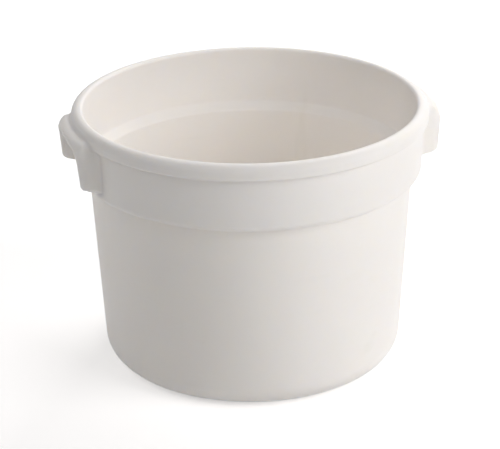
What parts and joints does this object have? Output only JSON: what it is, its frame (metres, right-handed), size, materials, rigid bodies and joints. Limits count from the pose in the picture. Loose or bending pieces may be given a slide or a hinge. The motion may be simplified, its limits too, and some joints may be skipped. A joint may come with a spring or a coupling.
{
  "type": "bain marie pot",
  "caption": "Round open pot for holding hot food, with a thick lip, a wider upper band that steps in to a tapered body, an inside ledge and opposite lug handles.",
  "frame": {"origin": "middle of the surface the pot stands on, on the pot's own axis", "axes": "+Z along the pot's axis, from the base up to the lip; +X along the line through both handles, from handle_left to handle_right; +Y across it, away from the side seen in the picture"},
  "size_m": [0.3112, 0.29, 0.217],
  "materials": {
    "polyethylene": "white polyethylene with a soft satin sheen and fine scuffs"
  },
  "bodies": {
    "root": {"pot_shell": "polyethylene", "handle_left": "polyethylene", "handle_right": "polyethylene"}
  },
  "joints": []
}
